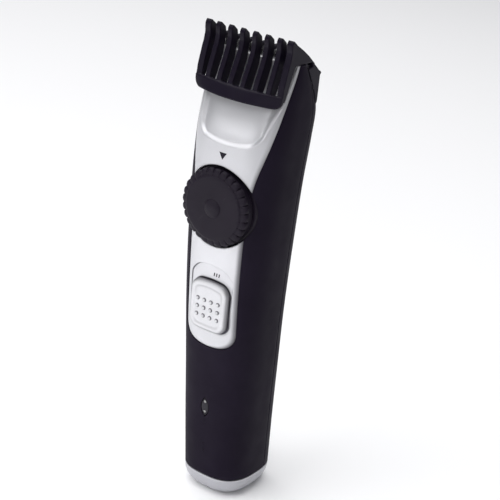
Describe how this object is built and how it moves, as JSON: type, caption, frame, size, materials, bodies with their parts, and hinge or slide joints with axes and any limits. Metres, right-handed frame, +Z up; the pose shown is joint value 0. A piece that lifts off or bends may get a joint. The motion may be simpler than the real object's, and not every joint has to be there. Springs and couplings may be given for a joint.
{
  "type": "hair clipper",
  "caption": "Cordless hair clipper with a toothed guide comb set by a knurled front dial, a slide switch, a charge light and a domed end cap.",
  "frame": {"origin": "centre of the charging socket mouth, in the plane of the flat foot of the end cap", "axes": "+Z up along the handle to the comb tips, -Y out of the dial, switch and silver panel, X across the blades"},
  "size_m": [0.0394, 0.0427, 0.1859],
  "materials": {
    "black_shell": "fine satin-moulded plastic",
    "silver_panel": "satin silver lacquer on plastic",
    "cap_silver": "satin silver-grey lacquer on plastic",
    "seal": "matte rubber",
    "light_lens": "smoky translucent plastic",
    "led_chip": "cast resin",
    "board": "solder mask",
    "chip": "moulded package",
    "socket_plastic": "moulded plastic",
    "cell_sleeve": "shrink sleeve",
    "contact_metal": "plated",
    "frame_plastic": "moulded plastic",
    "screw_steel": "zinc plated",
    "motor_steel": "zinc plated",
    "white_plastic": "acetal",
    "magnet": "sintered ferrite",
    "lead_sleeve": "insulated wire",
    "blade_steel": "ground steel",
    "spring_steel": "drawn steel",
    "dial_black": "matte moulded plastic",
    "comb_black": "smooth moulded plastic",
    "button_silver": "satin silver lacquer on plastic",
    "winding": "enamelled copper winding on a laminated core"
  },
  "bodies": {
    "handle": {"front_housing": "black_shell", "rear_housing": "black_shell", "upper_panel": "silver_panel", "lower_panel": "silver_panel", "end_cap": "cap_silver", "cap_gasket": "seal", "led_lens": "light_lens", "status_led": "led_chip", "circuit_board": "board", "charge_controller": "chip", "charging_socket": "socket_plastic", "battery": "cell_sleeve", "battery_contacts": "contact_metal", "inner_chassis": "frame_plastic", "housing_screws": "screw_steel", "motor_can": "motor_steel", "motor_end_bell": "white_plastic", "motor_magnets": "magnet", "motor_mount": "motor_steel", "motor_mount_screws": "screw_steel", "motor_leads": "lead_sleeve", "blade_carrier": "frame_plastic", "fixed_blade": "blade_steel", "blade_screws": "screw_steel", "blade_spring": "spring_steel", "dial_seat": "dial_black", "detent_spring": "spring_steel", "switch_contacts": "contact_metal"},
    "dial": {"zoom_dial": "dial_black", "dial_cap": "dial_black", "dial_screw": "screw_steel", "pinion": "white_plastic"},
    "carriage": {"comb_carriage": "white_plastic"},
    "guide_comb": {"comb": "comb_black"},
    "switch": {"switch_button": "button_silver", "switch_slider": "frame_plastic", "switch_wiper": "contact_metal"},
    "rotor": {"motor_shaft": "screw_steel", "motor_armature": "winding", "eccentric": "white_plastic"},
    "cutter": {"moving_blade": "blade_steel", "blade_yoke": "white_plastic"}
  },
  "joints": [
    {"name": "dial_turn", "type": "hinge", "parent": "handle", "child": "dial", "pos_m": [0, -0.02, 0.1226], "axis": [0, -1, 0], "range_deg": [0, 196.9]},
    {"name": "comb_slide", "type": "slide", "parent": "handle", "child": "carriage", "axis": [0, 0, 1], "range_m": [0, 0.0165]},
    {"name": "comb_pull_off", "type": "slide", "parent": "carriage", "child": "guide_comb", "axis": [0, 0, 1], "range_m": [0, 0.034]},
    {"name": "switch_slide", "type": "slide", "parent": "handle", "child": "switch", "axis": [0, 0, 1], "range_m": [0, 0.005]},
    {"name": "motor_spin", "type": "hinge", "parent": "handle", "child": "rotor", "pos_m": [0, -0.002, 0.14], "axis": [0, 0, 1], "continuous": true},
    {"name": "blade_shuttle", "type": "slide", "parent": "handle", "child": "cutter", "axis": [1, 0, 0], "range_m": [-0.001, 0.001]}
  ],
  "couplings": [
    {"joint": "comb_slide", "follows": "dial_turn", "m_per_rad": 0.0048}
  ]
}
